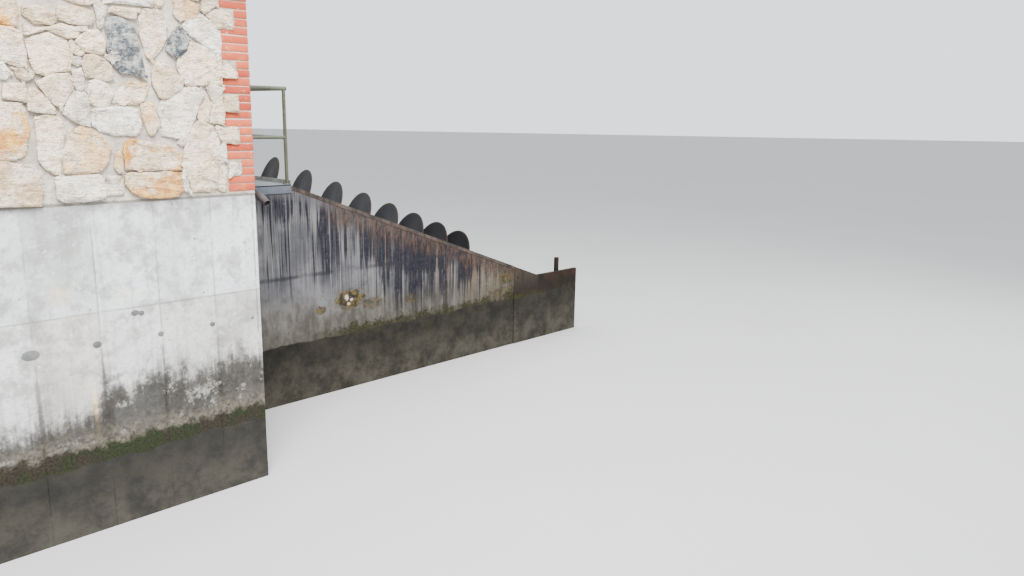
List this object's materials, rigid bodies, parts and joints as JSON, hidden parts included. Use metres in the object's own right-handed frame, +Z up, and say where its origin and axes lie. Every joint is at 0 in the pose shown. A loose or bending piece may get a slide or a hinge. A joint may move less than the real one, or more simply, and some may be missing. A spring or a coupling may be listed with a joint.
{
  "type": "screw turbine watermill",
  "caption": "Stone mill house on a concrete base, with an Archimedes screw turbine turning in a sloping concrete channel beside it, a railed deck and a steel end plate.",
  "frame": {"origin": "under the middle of the whole mill, on the level underside of its walls, in the upright plane of the screw's axis", "axes": "+X downstream along the channel, +Y across it, away from the side with the drain pipe and the steel end plate, +Z up"},
  "size_m": [12.4112, 6.5826, 7.7816],
  "materials": {
    "concrete": "formed concrete, weathered grey, dark with algae near the water",
    "stained_concrete": "concrete with black and brown streaks, moss near the water",
    "rubble_stone": "cream rubble stone with flush pale mortar",
    "brick": "orange-red brick with pale joints",
    "sheet_metal": "blue-grey painted sheet, weathered",
    "rusty_steel": "rusted structural steel",
    "dark_steel": "charcoal paint, dull, with a thin green and brown film",
    "rail_paint": "olive-grey paint on steel tube",
    "board_wood": "weathered boards",
    "bearing_iron": "painted iron casting",
    "drain_clay": "dull pinkish grey pipe"
  },
  "bodies": {
    "plant": {"base_wall_near": "concrete", "base_wall_far": "concrete", "base_wall_downstream": "concrete", "base_wall_upstream": "concrete", "culvert": "concrete", "house_floor": "concrete", "stone_wall_near": "rubble_stone", "stone_wall_far": "rubble_stone", "gable_downstream": "rubble_stone", "gable_upstream": "rubble_stone", "roof_slope_near": "sheet_metal", "roof_slope_far": "sheet_metal", "ridge_cap": "sheet_metal", "eaves_board_near": "board_wood", "eaves_board_far": "board_wood", "bargeboard_downstream": "board_wood", "bargeboard_upstream": "board_wood", "channel_wall_near": "stained_concrete", "channel_wall_far": "stained_concrete", "edge_angle_near": "rusty_steel", "edge_angle_far": "rusty_steel", "end_plate_near": "rusty_steel", "stub_post": "rusty_steel", "channel_bed": "stained_concrete", "trough_liner": "dark_steel", "bearing_beam": "rusty_steel", "upper_bearing": "bearing_iron", "bearing_pier": "stained_concrete", "lower_bearing": "bearing_iron", "deck_plate": "sheet_metal", "deck_bearer_1": "rusty_steel", "deck_bearer_2": "rusty_steel", "deck_bearer_3": "rusty_steel", "deck_fascia_near": "sheet_metal", "deck_fascia_far": "sheet_metal", "toe_board": "sheet_metal", "railing_near": "rail_paint", "railing_end": "rail_paint", "railing_far": "rail_paint", "drain_pipe": "drain_clay"},
    "screw": {"screw_tube": "dark_steel", "upper_journal": "dark_steel", "lower_journal": "dark_steel", "flight_1": "dark_steel", "flight_2": "dark_steel", "flight_3": "dark_steel"}
  },
  "joints": [
    {"name": "screw_turn", "type": "hinge", "parent": "plant", "child": "screw", "pos_m": [0.67465, 0, 2.396], "axis": [0.9333, 0, -0.3592], "continuous": true}
  ]
}
